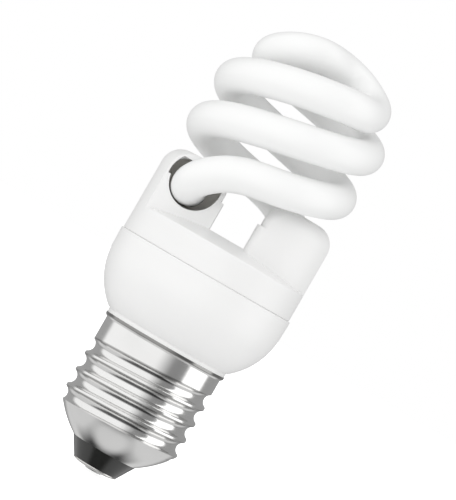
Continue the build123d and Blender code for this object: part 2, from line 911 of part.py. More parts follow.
# Choke core: three legs between two yokes
core_top_z = board_z - bobbin_rise - 2 * bobbin_gap
window_height = choke_height - 2 * choke_yoke
window_top_z = core_top_z - choke_yoke
window_bottom_z = window_top_z - window_height
with BuildPart(Location((*choke_place, core_top_z))) as choke_core:
    Box(choke_width, choke_depth, choke_height, align=(Align.CENTER, Align.CENTER, Align.MAX))
    window_width = (choke_width - choke_leg) / 2 - choke_yoke
    for sign in (-1, 1):
        with Locations((sign * (choke_leg + window_width) / 2, 0, -choke_yoke)):
            Box(
                window_width,
                2 * choke_depth,
                window_height,
                align=(Align.CENTER, Align.CENTER, Align.MAX),
                mode=Mode.SUBTRACT,
            )
choke_core.part.label = "choke_core"
export_step(choke_core.part, "parts/choke_core.step")

# Choke bobbin: a tube with two flanges, cheeks past the core and a base plate with four pins
tube_width = choke_leg + 2 * (bobbin_gap + bobbin_wall)
tube_depth = choke_depth + 2 * (bobbin_gap + bobbin_wall)
flange_width = choke_width - 2 * (choke_yoke + bobbin_gap)
cheek_depth = bobbin_depth / 2 - choke_depth / 2 - bobbin_gap
with BuildPart() as bobbin_form:
    with BuildSketch(Plane.XY.offset(window_bottom_z + bobbin_gap)):
        Rectangle(tube_width, tube_depth)
    extrude(amount=window_height - 2 * bobbin_gap)
    for flange_z in (window_bottom_z + bobbin_gap, window_top_z - bobbin_gap - bobbin_wall):
        with BuildSketch(Plane.XY.offset(flange_z)):
            Rectangle(flange_width, bobbin_depth)
        extrude(amount=bobbin_wall)
    with BuildSketch(Plane.XY.offset(window_top_z - bobbin_gap - bobbin_wall)):
        with Locations((0, (bobbin_depth - cheek_depth) / 2), (0, (cheek_depth - bobbin_depth) / 2)):
            Rectangle(flange_width, cheek_depth)
    extrude(amount=board_z - window_top_z + bobbin_gap + bobbin_wall)
    with BuildSketch(Plane.XY.offset(board_z - bobbin_rise)):
        Rectangle(bobbin_base_width, bobbin_depth)
    extrude(amount=bobbin_rise)
    with BuildSketch(Plane.XY.offset(window_bottom_z)):
        Rectangle(choke_leg + 2 * bobbin_gap, choke_depth + 2 * bobbin_gap)
    extrude(amount=window_height, mode=Mode.SUBTRACT)
    with BuildSketch(Plane.XY.offset(board_z)):
        with GridLocations(*bobbin_pins, 2, 2):
            Circle(lead_radius)
    extrude(amount=board_thickness)
with BuildPart() as choke_bobbin:
    with Locations(choke_place):
        add(bobbin_form.part)
choke_bobbin.part.label = "choke_bobbin"
export_step(choke_bobbin.part, "parts/choke_bobbin.step")

# Choke winding: wire filling the bobbin between its flanges
with BuildPart() as winding_form:
    with BuildSketch(Plane.XY.offset(window_bottom_z + bobbin_gap + bobbin_wall)):
        RectangleRounded(flange_width - 2 * winding_inset, bobbin_depth - 2 * winding_inset, winding_round)
        Rectangle(tube_width, tube_depth, mode=Mode.SUBTRACT)
    extrude(amount=window_height - 2 * bobbin_gap - 2 * bobbin_wall)
with BuildPart() as choke_winding:
    with Locations(choke_place):
        add(winding_form.part)
choke_winding.part.label = "choke_winding"
export_step(choke_winding.part, "parts/choke_winding.step")

# Drive transformer: a ring lying under the board, with three windings
ring_top_z = body_top_z - ring_wire
with BuildPart(Location((*ring_place, ring_top_z))) as drive_ring:
    Cylinder(ring_radius, ring_height, align=(Align.CENTER, Align.CENTER, Align.MAX))
    Cylinder(ring_bore, ring_height, align=(Align.CENTER, Align.CENTER, Align.MAX), mode=Mode.SUBTRACT)
    fillet(drive_ring.edges().filter_by(GeomType.CIRCLE), ring_round)
drive_ring.part.label = "drive_ring"
export_step(drive_ring.part, "parts/drive_ring.step")

with BuildPart() as winding_form:
    with BuildSketch(Plane.XZ):
        with Locations(((ring_radius + ring_bore) / 2, -ring_height / 2)):
            RectangleRounded(
                ring_radius - ring_bore + 2 * ring_wire, ring_height + 2 * ring_wire, ring_round + ring_wire
            )
            RectangleRounded(ring_radius - ring_bore, ring_height, ring_round, mode=Mode.SUBTRACT)
    revolve(axis=Axis.Z, revolution_arc=ring_winding_arc)
winding_bands = [turned(winding_form.part, angle - ring_winding_arc / 2) for angle in range(90, 450, 120)]
with BuildPart() as drive_windings:
    with Locations((*ring_place, ring_top_z)):
        add(winding_bands)
    with Locations(*[(x, y, ring_top_z + ring_wire / 2) for x, y in ring_leads]):
        Cylinder(
            lead_radius,
            board_top_z - ring_top_z - ring_wire / 2,
            align=(Align.CENTER, Align.CENTER, Align.MIN),
        )
drive_windings.part.label = "drive_windings"
export_step(drive_windings.part, "parts/drive_windings.step")


def wire_post(place):
    # square-ended post through the board
    with BuildPart(Location((*place, board_z))) as post:
        Cylinder(post_radius, board_thickness + post_height, align=(Align.CENTER, Align.CENTER, Align.MIN))
        fillet(post.edges().group_by(Axis.Z)[-1], post_radius / 3)
    return post.part


def filament_lead(place):
    # from the tube's end, down behind it and sideways onto the post
    side = 1 if place[0] > 0 else -1
    outwards = 1 if abs(place[0]) > leg_x else -1
    start_x = side * (leg_x + outwards * filament_spread)
    foot_z = board_top_z + post_height - filament_drop
    reach = hypot(place[0] - start_x, place[1] + side * (leg_end_y + filament_run))
    share = 1 - post_radius / reach
    back_y = -side * (leg_end_y + filament_run)
    return wire(
        [
            (start_x, -side * leg_end_y, leg_z),
            (start_x, back_y, leg_z),
            (start_x, back_y, foot_z),
            (start_x + share * (place[0] - start_x), back_y + share * (place[1] - back_y), foot_z),
        ],
        filament_radius,
        filament_bend,
    )


posts = [wire_post(place) for place in post_places]
filament_leads = [filament_lead(place) for place in post_places]

# Wire posts and the leads from the tube's ends
with BuildPart() as wire_post_1:
    add(posts[0])
wire_post_1.part.label = "wire_post_1"
export_step(wire_post_1.part, "parts/wire_post_1.step")

with BuildPart() as wire_post_2:
    add(posts[1])
wire_post_2.part.label = "wire_post_2"
export_step(wire_post_2.part, "parts/wire_post_2.step")

with BuildPart() as wire_post_3:
    add(posts[2])
wire_post_3.part.label = "wire_post_3"
export_step(wire_post_3.part, "parts/wire_post_3.step")

with BuildPart() as wire_post_4:
    add(posts[3])
wire_post_4.part.label = "wire_post_4"
export_step(wire_post_4.part, "parts/wire_post_4.step")

with BuildPart() as filament_lead_1:
    add(filament_leads[0])
filament_lead_1.part.label = "filament_lead_1"
export_step(filament_lead_1.part, "parts/filament_lead_1.step")

with BuildPart() as filament_lead_2:
    add(filament_leads[1])
filament_lead_2.part.label = "filament_lead_2"
export_step(filament_lead_2.part, "parts/filament_lead_2.step")

with BuildPart() as filament_lead_3:
    add(filament_leads[2])
filament_lead_3.part.label = "filament_lead_3"
export_step(filament_lead_3.part, "parts/filament_lead_3.step")

with BuildPart() as filament_lead_4:
    add(filament_leads[3])
filament_lead_4.part.label = "filament_lead_4"
export_step(filament_lead_4.part, "parts/filament_lead_4.step")

# Fusible resistor on the axis, its lower lead down the eyelet to the solder
with BuildPart() as fuse_resistor:
    with Locations((0, 0, fuse_z)):
        Cylinder(fuse_radius, fuse_length, align=(Align.CENTER, Align.CENTER, Align.MIN))
        fillet(fuse_resistor.edges().filter_by(GeomType.CIRCLE), fuse_round)
    with Locations((0, 0, solder_plug_z)):
        Cylinder(lead_radius, fuse_z - solder_plug_z, align=(Align.CENTER, Align.CENTER, Align.MIN))
fuse_resistor.part.label = "fuse_resistor"
export_step(fuse_resistor.part, "parts/fuse_resistor.step")

with BuildPart(Location((0, 0, fuse_z - sleeve_overlap))) as fuse_sleeve:
    sleeve_bore = fuse_radius + sleeve_gap
    sleeve_length = fuse_length + 2 * sleeve_overlap
    Cylinder(sleeve_bore + sleeve_wall, sleeve_length, align=(Align.CENTER, Align.CENTER, Align.MIN))
    Cylinder(sleeve_bore, sleeve_length, align=(Align.CENTER, Align.CENTER, Align.MIN), mode=Mode.SUBTRACT)
fuse_sleeve.part.label = "fuse_sleeve"
export_step(fuse_sleeve.part, "parts/fuse_sleeve.step")

# Live lead from the fusible resistor, and neutral lead to the screw shell
fuse_top_z = fuse_z + fuse_length
live_covered = wire(
    [
        (0, 0, fuse_top_z),
        (0, 0, fuse_top_z + live_rise),
        (*live_hole, fuse_top_z + 3 * live_rise),
        (*live_hole, board_z - lead_strip),
    ],
    lead_cover_radius,
    lead_bend,
)
with BuildPart() as live_lead:
    add(live_covered)
    with Locations((*live_hole, board_z - lead_strip)):
        Cylinder(lead_radius, lead_strip + board_thickness, align=(Align.CENTER, Align.CENTER, Align.MIN))
live_lead.part.label = "live_lead"
export_step(live_lead.part, "parts/live_lead.step")

neutral_reach = hypot(*neutral_hole)
neck_point = tuple(along * neutral_radius / neutral_reach for along in neutral_hole)
trap_radius = (thread_bore + skirt_bore) / 2
trap_point = tuple(along * trap_radius / neutral_reach for along in neutral_hole)
neutral_covered = wire(
    [
        (*neck_point, neck_bottom_z + lead_strip),
        (*neck_point, collar_top_z + neutral_rise),
        (*neutral_hole, collar_top_z + 2 * neutral_rise),
        (*neutral_hole, board_z - lead_strip),
    ],
    lead_cover_radius,
    lead_bend,
)
neutral_bare = wire(
    [
        (*neck_point, neck_bottom_z + lead_strip),
        (*neck_point, neck_seat_z + lead_radius),
        (*trap_point, neck_seat_z + lead_radius),
    ],
    lead_radius,
    neutral_bend,
)
with BuildPart() as neutral_lead:
    add(neutral_covered)
    add(neutral_bare)
    with Locations((*neutral_hole, board_z - lead_strip)):
        Cylinder(lead_radius, lead_strip + board_thickness, align=(Align.CENTER, Align.CENTER, Align.MIN))
neutral_lead.part.label = "neutral_lead"
export_step(neutral_lead.part, "parts/neutral_lead.step")
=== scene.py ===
import json
import math
import bpy
import bmesh
import numpy as np
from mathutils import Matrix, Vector


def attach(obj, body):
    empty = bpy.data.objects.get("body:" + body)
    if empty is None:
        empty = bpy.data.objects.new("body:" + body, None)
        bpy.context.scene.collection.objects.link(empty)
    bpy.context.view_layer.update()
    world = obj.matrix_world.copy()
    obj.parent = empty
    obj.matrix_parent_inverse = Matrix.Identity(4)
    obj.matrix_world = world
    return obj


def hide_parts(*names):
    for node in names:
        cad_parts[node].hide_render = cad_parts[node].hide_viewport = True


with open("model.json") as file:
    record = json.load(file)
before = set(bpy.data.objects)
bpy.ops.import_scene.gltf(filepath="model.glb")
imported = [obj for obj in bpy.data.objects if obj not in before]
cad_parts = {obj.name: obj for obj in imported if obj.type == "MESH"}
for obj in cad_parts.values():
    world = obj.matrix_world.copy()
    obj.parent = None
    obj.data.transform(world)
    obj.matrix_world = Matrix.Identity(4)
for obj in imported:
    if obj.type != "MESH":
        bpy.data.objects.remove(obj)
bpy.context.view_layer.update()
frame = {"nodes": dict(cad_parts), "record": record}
nodes = frame["nodes"]
finishes = {m["slot"]: m for m in frame["record"]["materials"]}
nodeSlots = {s["node"]: s["material_slot"] for s in frame["record"]["subparts"]}
print("frame loaded:", len(nodes), "nodes")


# Node helpers

def newTree(name, kind="ShaderNodeTree"):
    return bpy.data.node_groups.new(name, kind)


def addSocket(tree, name, direction, kind, value=None):
    socket = tree.interface.new_socket(name=name, in_out=direction, socket_type=kind)
    if value is not None:
        socket.default_value = value
    return socket


def addNode(tree, kind, values=None, **settings):
    node = tree.nodes.new(kind)
    for key, value in settings.items():
        setattr(node, key, value)
    for key, value in (values or {}).items():
        node.inputs[key].default_value = value
    return node


def link(tree, source, target):
    tree.links.new(source, target)


def mathStep(tree, operation, first, second=None):
    # one math node, with a plain number or another node's output at each input
    node = addNode(tree, "ShaderNodeMath", operation=operation)
    for socket, value in zip(node.inputs, (first, second)):
        if isinstance(value, (int, float)):
            socket.default_value = value
        elif value is not None:
            link(tree, value, socket)
    return node.outputs[0]


# Shader groups that several finishes share

def buildMouldGrain():
    # fine moulded skin: a small height, and a roughness that drifts over the surface
    tree = newTree("mouldGrain")
    for name, value in (("Scale", 900.0), ("Roughness", 0.3), ("Drift", 0.05)):
        addSocket(tree, name, "INPUT", "NodeSocketFloat", value)
    addSocket(tree, "Roughness", "OUTPUT", "NodeSocketFloat")
    addSocket(tree, "Height", "OUTPUT", "NodeSocketFloat")
    addSocket(tree, "Shade", "OUTPUT", "NodeSocketFloat")
    enter = addNode(tree, "NodeGroupInput")
    leave = addNode(tree, "NodeGroupOutput")
    place = addNode(tree, "ShaderNodeTexCoord")
    fine = addNode(tree, "ShaderNodeTexNoise", {"Detail": 3.0, "Roughness": 0.6})
    broad = addNode(tree, "ShaderNodeTexNoise", {"Scale": 60.0, "Detail": 2.0})
    link(tree, place.outputs["Object"], fine.inputs["Vector"])
    link(tree, place.outputs["Object"], broad.inputs["Vector"])
    link(tree, enter.outputs["Scale"], fine.inputs["Scale"])
    spread = mathStep(tree, "SUBTRACT", broad.outputs["Fac"], 0.5)
    drift = mathStep(tree, "MULTIPLY", spread, enter.outputs["Drift"])
    link(tree, mathStep(tree, "ADD", drift, enter.outputs["Roughness"]), leave.inputs["Roughness"])
    link(tree, fine.outputs["Fac"], leave.inputs["Height"])
    link(tree, broad.outputs["Fac"], leave.inputs["Shade"])
    return tree


def buildTurnedStreaks():
    # drawn and rolled metal: streaks that run round the lamp's axis
    tree = newTree("turnedStreaks")
    for name, value in (("Fineness", 1600.0), ("Roughness", 0.2), ("Depth", 0.06)):
        addSocket(tree, name, "INPUT", "NodeSocketFloat", value)
    addSocket(tree, "Roughness", "OUTPUT", "NodeSocketFloat")
    addSocket(tree, "Height", "OUTPUT", "NodeSocketFloat")
    addSocket(tree, "Tone", "OUTPUT", "NodeSocketFloat")
    enter = addNode(tree, "NodeGroupInput")
    leave = addNode(tree, "NodeGroupOutput")
    place = addNode(tree, "ShaderNodeTexCoord")
    squeeze = addNode(tree, "ShaderNodeMapping", {"Scale": (0.12, 0.12, 1.0)})
    streaks = addNode(tree, "ShaderNodeTexNoise", {"Detail": 4.0, "Roughness": 0.55})
    patches = addNode(tree, "ShaderNodeTexNoise", {"Scale": 110.0, "Detail": 3.0})
    link(tree, place.outputs["Object"], squeeze.inputs["Vector"])
    link(tree, squeeze.outputs[0], streaks.inputs["Vector"])
    link(tree, enter.outputs["Fineness"], streaks.inputs["Scale"])
    link(tree, place.outputs["Object"], patches.inputs["Vector"])
    blend = mathStep(tree, "ADD", streaks.outputs["Fac"], patches.outputs["Fac"])
    centred = mathStep(tree, "SUBTRACT", blend, 1.0)
    drift = mathStep(tree, "MULTIPLY", centred, enter.outputs["Depth"])
    link(tree, mathStep(tree, "ADD", drift, enter.outputs["Roughness"]), leave.inputs["Roughness"])
    link(tree, streaks.outputs["Fac"], leave.inputs["Height"])
    link(tree, patches.outputs["Fac"], leave.inputs["Tone"])
    return tree


# places of the painted shade: dark lines under the thread's crests and a dark band on the crimped rim
# Pitch, Root, Low, High and Rim are in metres and Centre in turns of the thread
# Sharpness is how fast a line fades for each turn away from Centre, and Depth its darkest share
threadShadeValues = {
    "Pitch": 0.003629,
    "Root": 0.02335,
    "Low": 0.0105,
    "High": 0.0245,
    "Rim": 0.0283,
    "Centre": 0.4,
    "Sharpness": 11.0,
    "Depth": 0.75,
}


def buildPaintedThreadShade():
    # share of painted shade under each crest of the rolled thread and on the crimped rim
    tree = newTree("paintedThreadShade")
    for name, value in threadShadeValues.items():
        addSocket(tree, name, "INPUT", "NodeSocketFloat", value)
    addSocket(tree, "PaintedShade", "OUTPUT", "NodeSocketFloat")
    enter = addNode(tree, "NodeGroupInput").outputs
    leave = addNode(tree, "NodeGroupOutput")
    place = addNode(tree, "ShaderNodeTexCoord")
    split = addNode(tree, "ShaderNodeSeparateXYZ")
    link(tree, place.outputs["Object"], split.inputs[0])
    x, y, z = split.outputs
    turn = mathStep(tree, "MULTIPLY", mathStep(tree, "ARCTAN2", y, x), 0.5 / math.pi)
    rise = mathStep(tree, "DIVIDE", mathStep(tree, "SUBTRACT", z, enter["Root"]), enter["Pitch"])
    phase = mathStep(tree, "FRACT", mathStep(tree, "SUBTRACT", rise, turn))
    away = mathStep(tree, "ABSOLUTE", mathStep(tree, "SUBTRACT", phase, enter["Centre"]))
    fall = mathStep(tree, "MULTIPLY", away, enter["Sharpness"])
    line = mathStep(tree, "MAXIMUM", mathStep(tree, "SUBTRACT", 1.0, fall), 0.0)
    above = mathStep(tree, "GREATER_THAN", z, enter["Low"])
    below = mathStep(tree, "LESS_THAN", z, enter["High"])
    onThread = mathStep(tree, "MULTIPLY", line, mathStep(tree, "MULTIPLY", above, below))
    onRim = mathStep(tree, "GREATER_THAN", z, enter["Rim"])
    dark = mathStep(tree, "MAXIMUM", onThread, onRim)
    link(tree, mathStep(tree, "MULTIPLY", dark, enter["Depth"]), leave.inputs["PaintedShade"])
    return tree


mouldGrain = buildMouldGrain()
turnedStreaks = buildTurnedStreaks()
paintedThreadShade = buildPaintedThreadShade()


def newFinish(name):
    material = bpy.data.materials.new(name)
    material.use_nodes = True
    tree = material.node_tree
    return material, tree, tree.nodes["Principled BSDF"]


def shadeBetween(tree, factor, dark, light, target):
    ramp = addNode(tree, "ShaderNodeValToRGB")
    ramp.color_ramp.elements[0].position = 0.3
    ramp.color_ramp.elements[1].position = 0.7
    ramp.color_ramp.elements[0].color = (*dark, 1.0)
    ramp.color_ramp.elements[1].color = (*light, 1.0)
    link(tree, factor, ramp.inputs["Fac"])
    link(tree, ramp.outputs["Color"], target)


def mouldedFinish(name, colour, roughness, grain=900.0, height=0.02, drift=0.05, contrast=0.02, coat=0.0):
    material, tree, shader = newFinish(name)
    skin = addNode(tree, "ShaderNodeGroup", node_tree=mouldGrain)
    skin.inputs["Scale"].default_value = grain
    skin.inputs["Roughness"].default_value = roughness
    skin.inputs["Drift"].default_value = drift
    dark = tuple(max(c - contrast, 0.0) for c in colour)
    light = tuple(min(c + contrast, 1.0) for c in colour)
    shadeBetween(tree, skin.outputs["Shade"], dark, light, shader.inputs["Base Color"])
    link(tree, skin.outputs["Roughness"], shader.inputs["Roughness"])
    bump = addNode(tree, "ShaderNodeBump", {"Strength": 0.25, "Distance": height / 1000})
    link(tree, skin.outputs["Height"], bump.inputs["Height"])
    link(tree, bump.outputs["Normal"], shader.inputs["Normal"])
    shader.inputs["Coat Weight"].default_value = coat
    shader.inputs["Coat Roughness"].default_value = 0.2
    return material


def metalFinish(name, colour, roughness, fineness=1600.0, depth=0.06, height=0.004, contrast=0.03):
    material, tree, shader = newFinish(name)
    streaks = addNode(tree, "ShaderNodeGroup", node_tree=turnedStreaks)
    streaks.inputs["Fineness"].default_value = fineness
    streaks.inputs["Roughness"].default_value = roughness
    streaks.inputs["Depth"].default_value = depth
    dark = tuple(max(c - contrast, 0.0) for c in colour)
    light = tuple(min(c + contrast, 1.0) for c in colour)
    shadeBetween(tree, streaks.outputs["Tone"], dark, light, shader.inputs["Base Color"])
    link(tree, streaks.outputs["Roughness"], shader.inputs["Roughness"])
    bump = addNode(tree, "ShaderNodeBump", {"Strength": 0.3, "Distance": height / 1000})
    link(tree, streaks.outputs["Height"], bump.inputs["Height"])
    link(tree, bump.outputs["Normal"], shader.inputs["Normal"])
    shader.inputs["Metallic"].default_value = 1.0
    return material


def withPaintedThreadShade(material):
    # darkens the metal's colour with painted shade along the thread and on the rim
    tree = material.node_tree
    shader = tree.nodes["Principled BSDF"]
    tone = shader.inputs["Base Color"].links[0].from_socket
    shadeLines = addNode(tree, "ShaderNodeGroup", node_tree=paintedThreadShade)
    # colour of the painted shade
    mix = addNode(tree, "ShaderNodeMixRGB", {"Color2": (0.12, 0.118, 0.112, 1.0)})
    link(tree, shadeLines.outputs["PaintedShade"], mix.inputs["Fac"])
    link(tree, tone, mix.inputs["Color1"])
    link(tree, mix.outputs["Color"], shader.inputs["Base Color"])
    return material


# Finishes by material slot

capMetal = metalFinish("platedCap", (0.85, 0.847, 0.84), 0.17, height=0.012)
housingSkin = {"grain": 1500.0, "height": 0.012, "drift": 0.08, "contrast": 0.006}
finish = {
    "opal_glass": mouldedFinish("opalGlass", (0.932, 0.935, 0.93), 0.45,
                                grain=420.0, height=0.004, drift=0.04, contrast=0.006, coat=0.3),
    "cover_plastic": mouldedFinish("coverPlastic", (0.885, 0.885, 0.88), 0.36, **housingSkin),
    "housing_plastic": mouldedFinish("housingPlastic", (0.9, 0.9, 0.895), 0.33, **housingSkin),
    # the cap's metal with painted shade under the thread's crests and on the rim
    "plated_cap": withPaintedThreadShade(capMetal),
    "plated_contact": metalFinish("platedContact", (0.72, 0.71, 0.69), 0.26),
    "insulator_glass": mouldedFinish("insulatorGlass", (0.012, 0.0125, 0.011), 0.12,
                                     grain=300.0, height=0.01, drift=0.06, contrast=0.003, coat=0.6),
    "solder": metalFinish("solderTin", (0.7, 0.7, 0.69), 0.34, fineness=500.0, depth=0.12, height=0.02),
    "tinned_wire": metalFinish("tinnedWire", (0.66, 0.66, 0.65), 0.3, fineness=900.0, depth=0.08),
    "copper_wire": metalFinish("enamelledWire", (0.72, 0.34, 0.16), 0.28,
                               fineness=2600.0, depth=0.08, height=0.03),
    "ferrite": mouldedFinish("ferrite", (0.06, 0.06, 0.063), 0.55,
                             grain=700.0, height=0.03, drift=0.1, contrast=0.012),
}
# the other slots take their colour from the record
for slot, entry in finishes.items():
    if slot not in finish:
        shine = 0.25 if entry["class"] == "gloss_plastic" else 0.6
        colour = tuple(entry["base_color"][:3])
        finish[slot] = mouldedFinish("finish_" + slot, colour, shine,
                                     grain=700.0, height=0.03, drift=0.1, contrast=0.02)

for name, item in nodes.items():
    for materialSlot in item.material_slots:
        materialSlot.material = finish[nodeSlots[name]]
print("finishes on the CAD nodes:", len(finish))


# Glass spiral: the solid's centre line with its own bend and crown, swept by Geometry Nodes

spiral = {
    "tubeRadius": 0.00365,
    "endRound": 0.0016,
    "sides": 48,
    "coilRadius": 0.0152,
    "coilLead": 0.0204,
    # height at the front of the first turn, which is at 270 degrees
    "coilStart": 0.0658,
    "coilAngles": range(255, 630, 30),
    "crownRise": 0.00755,
    # how far the crown sits to the right, and the height where that begins
    "crownShift": 0.001,
    "shiftFoot": 0.076,
    "legX": 0.0112,
    "legZ": 0.0581,
    "legEndY": 0.0022,
    "legStraight": 0.0048,
    "legSteps": 16,
    "faceY": 0.0084,
    # inwards from the leg, out from the tower's face, up from the leg
    "bend": ((-0.0003, -0.0009, 0.0002), (0.0, 0.0021, 0.0015), (0.0036, 0.0049, 0.005)),
    # turn angle, share of the coil's radius, share of the crown's rise
    "crown": (
        (-52, 0.89, 0.17), (-26, 0.80, 0.245), (0, 0.75, 0.44),
        (15, 0.67, 0.62), (32, 0.493, 0.85), (46, 0.263, 0.973),
    ),
    "stepLength": 0.0008,
}


def smoothLine(points, startWay, endWay, stepLength):
    # one smooth cubic through the points, evened out into short runs
    places = np.array(points, float)
    gaps = np.linalg.norm(np.diff(places, axis=0), axis=1)
    count = len(places)
    weights = np.zeros((count, count))
    pulls = np.zeros((count, 3))
    weights[0, 0] = weights[-1, -1] = 1.0
    pulls[0], pulls[-1] = startWay, endWay
    for i in range(1, count - 1):
        before, after = gaps[i - 1], gaps[i]
        weights[i, i - 1] = after
        weights[i, i] = 2.0 * (before + after)
        weights[i, i + 1] = before
        towards = after * (places[i] - places[i - 1]) / before
        onwards = before * (places[i + 1] - places[i]) / after
        pulls[i] = 3.0 * (towards + onwards)
    ways = np.linalg.solve(weights, pulls)
    line = []
    for i in range(count - 1):
        for t in np.linspace(0.0, 1.0, max(2, int(gaps[i] / stepLength) + 1))[:-1]:
            a, b = 2 * t**3 - 3 * t**2 + 1, t**3 - 2 * t**2 + t
            c, d = -2 * t**3 + 3 * t**2, t**3 - t**2
            nearer = a * places[i] + b * gaps[i] * ways[i]
            line.append(nearer + c * places[i + 1] + d * gaps[i] * ways[i + 1])
    line.append(places[-1])
    return line


def spiralCentreLine(shape):
    crownFoot = shape["coilStart"] + shape["coilLead"]
    legX, coilRadius = shape["legX"], shape["coilRadius"]
    points = [(-legX, shape["legEndY"] - shape["legStraight"], shape["legZ"])]
    for inwards, out, up in shape["bend"]:
        points.append((inwards - legX, -shape["faceY"] - out, shape["legZ"] + up))
    for angle in shape["coilAngles"]:
        turn = math.radians(angle)
        height = shape["coilStart"] + shape["coilLead"] * (angle - 270) / 360
        points.append((coilRadius * math.cos(turn), coilRadius * math.sin(turn), height))
    for angle, share, rise in shape["crown"]:
        turn = math.radians(angle)
        reach = coilRadius * share
        height = crownFoot + shape["crownRise"] * rise
        points.append((reach * math.cos(turn), reach * math.sin(turn), height))
    back = [(-x, -y, z) for x, y, z in reversed(points)]
    points = points + [(0.0, 0.0, crownFoot + shape["crownRise"])] + back
    # the crown of the real tube sits a little to one side
    for i, (x, y, z) in enumerate(points):
        share = min(max((z - shape["shiftFoot"]) / (crownFoot - shape["shiftFoot"]), 0.0), 1.0)
        points[i] = (x + shape["crownShift"] * share * share * (3 - 2 * share), y, z)
    middle = smoothLine(points, (0, -1, 0), (0, -1, 0), shape["stepLength"])
    run = np.linspace(0.0, shape["legStraight"], shape["legSteps"])[1:]
    first = [np.array((-legX, points[0][1] + r, shape["legZ"])) for r in reversed(run)]
    last = [np.array((legX, points[-1][1] - r, shape["legZ"])) for r in run]
    return first + middle + last


def buildTubeTree():
    # radius along the line with rounded ends, then a swept tube with closed caps
    tree = newTree("sweptGlass", "GeometryNodeTree")
    addSocket(tree, "Geometry", "INPUT", "NodeSocketGeometry")
    addSocket(tree, "Tube Radius", "INPUT", "NodeSocketFloat", 0.00365)
    addSocket(tree, "End Round", "INPUT", "NodeSocketFloat", 0.0016)
    addSocket(tree, "Sides", "INPUT", "NodeSocketInt", 48)
    addSocket(tree, "Finish", "INPUT", "NodeSocketMaterial")
    addSocket(tree, "Geometry", "OUTPUT", "NodeSocketGeometry")
    enter = addNode(tree, "NodeGroupInput")
    leave = addNode(tree, "NodeGroupOutput")
    tubeRadius, endRound = enter.outputs["Tube Radius"], enter.outputs["End Round"]
    along = addNode(tree, "GeometryNodeSplineParameter").outputs["Length"]
    whole = addNode(tree, "GeometryNodeSplineLength").outputs["Length"]
    fromEnd = mathStep(tree, "MINIMUM", along, mathStep(tree, "SUBTRACT", whole, along))
    inEnd = mathStep(tree, "MAXIMUM", mathStep(tree, "SUBTRACT", endRound, fromEnd), 0.0)
    roundSquare = mathStep(tree, "MULTIPLY", endRound, endRound)
    inSquare = mathStep(tree, "MULTIPLY", inEnd, inEnd)
    rounded = mathStep(tree, "SQRT", mathStep(tree, "SUBTRACT", roundSquare, inSquare))
    radius = mathStep(tree, "ADD", mathStep(tree, "SUBTRACT", tubeRadius, endRound), rounded)
    sized = addNode(tree, "GeometryNodeSetCurveRadius")
    link(tree, enter.outputs["Geometry"], sized.inputs["Curve"])
    link(tree, radius, sized.inputs["Radius"])
    ring = addNode(tree, "GeometryNodeCurvePrimitiveCircle", {"Radius": 1.0})
    link(tree, enter.outputs["Sides"], ring.inputs["Resolution"])
    tube = addNode(tree, "GeometryNodeCurveToMesh", {"Fill Caps": True})
    link(tree, sized.outputs["Curve"], tube.inputs["Curve"])
    link(tree, ring.outputs["Curve"], tube.inputs["Profile Curve"])
    if "Scale" in tube.inputs:
        link(tree, radius, tube.inputs["Scale"])
    smooth = addNode(tree, "GeometryNodeSetShadeSmooth")
    link(tree, tube.outputs["Mesh"], smooth.inputs["Geometry"])
    real = addNode(tree, "GeometryNodeRealizeInstances")
    link(tree, smooth.outputs["Geometry"], real.inputs["Geometry"])
    finishNode = addNode(tree, "GeometryNodeSetMaterial")
    link(tree, real.outputs["Geometry"], finishNode.inputs["Geometry"])
    link(tree, enter.outputs["Finish"], finishNode.inputs["Material"])
    link(tree, finishNode.outputs["Geometry"], leave.inputs["Geometry"])
    return tree


def meshFromTree(name, source, tree, values):
    # runs the tree on the source object and keeps the result as a plain mesh
    modifier = source.modifiers.new("shape", "NODES")
    modifier.node_group = tree
    sockets = {i.name: i.identifier for i in tree.interface.items_tree if i.in_out == "INPUT"}
    for key, value in values.items():
        modifier[sockets[key]] = value
    bpy.context.view_layer.update()
    evaluated = source.evaluated_get(bpy.context.evaluated_depsgraph_get())
    mesh = bpy.data.meshes.new_from_object(evaluated)
    mesh.name = name
    piece = bpy.data.objects.new(name, mesh)
    bpy.context.scene.collection.objects.link(piece)
    bpy.data.objects.remove(source)
    return piece


def buildSpiral(shape):
    line = spiralCentreLine(shape)
    curve = bpy.data.curves.new("spiralLine", "CURVE")
    curve.dimensions = "3D"
    run = curve.splines.new("POLY")
    run.points.add(len(line) - 1)
    for point, place in zip(run.points, line):
        point.co = (*place, 1.0)
    source = bpy.data.objects.new("spiralLine", curve)
    bpy.context.scene.collection.objects.link(source)
    values = {
        "Tube Radius": shape["tubeRadius"],
        "End Round": shape["endRound"],
        "Sides": shape["sides"],
        "Finish": finish["opal_glass"],
    }
    piece = meshFromTree("glassSpiral", source, buildTubeTree(), values)
    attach(piece, "root")
    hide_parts("spiral_tube")
    return piece


glassSpiral = buildSpiral(spiral)
print("glass spiral:", len(glassSpiral.data.polygons), "faces")


# Studio: floor, world, reflection screen, lamps and camera

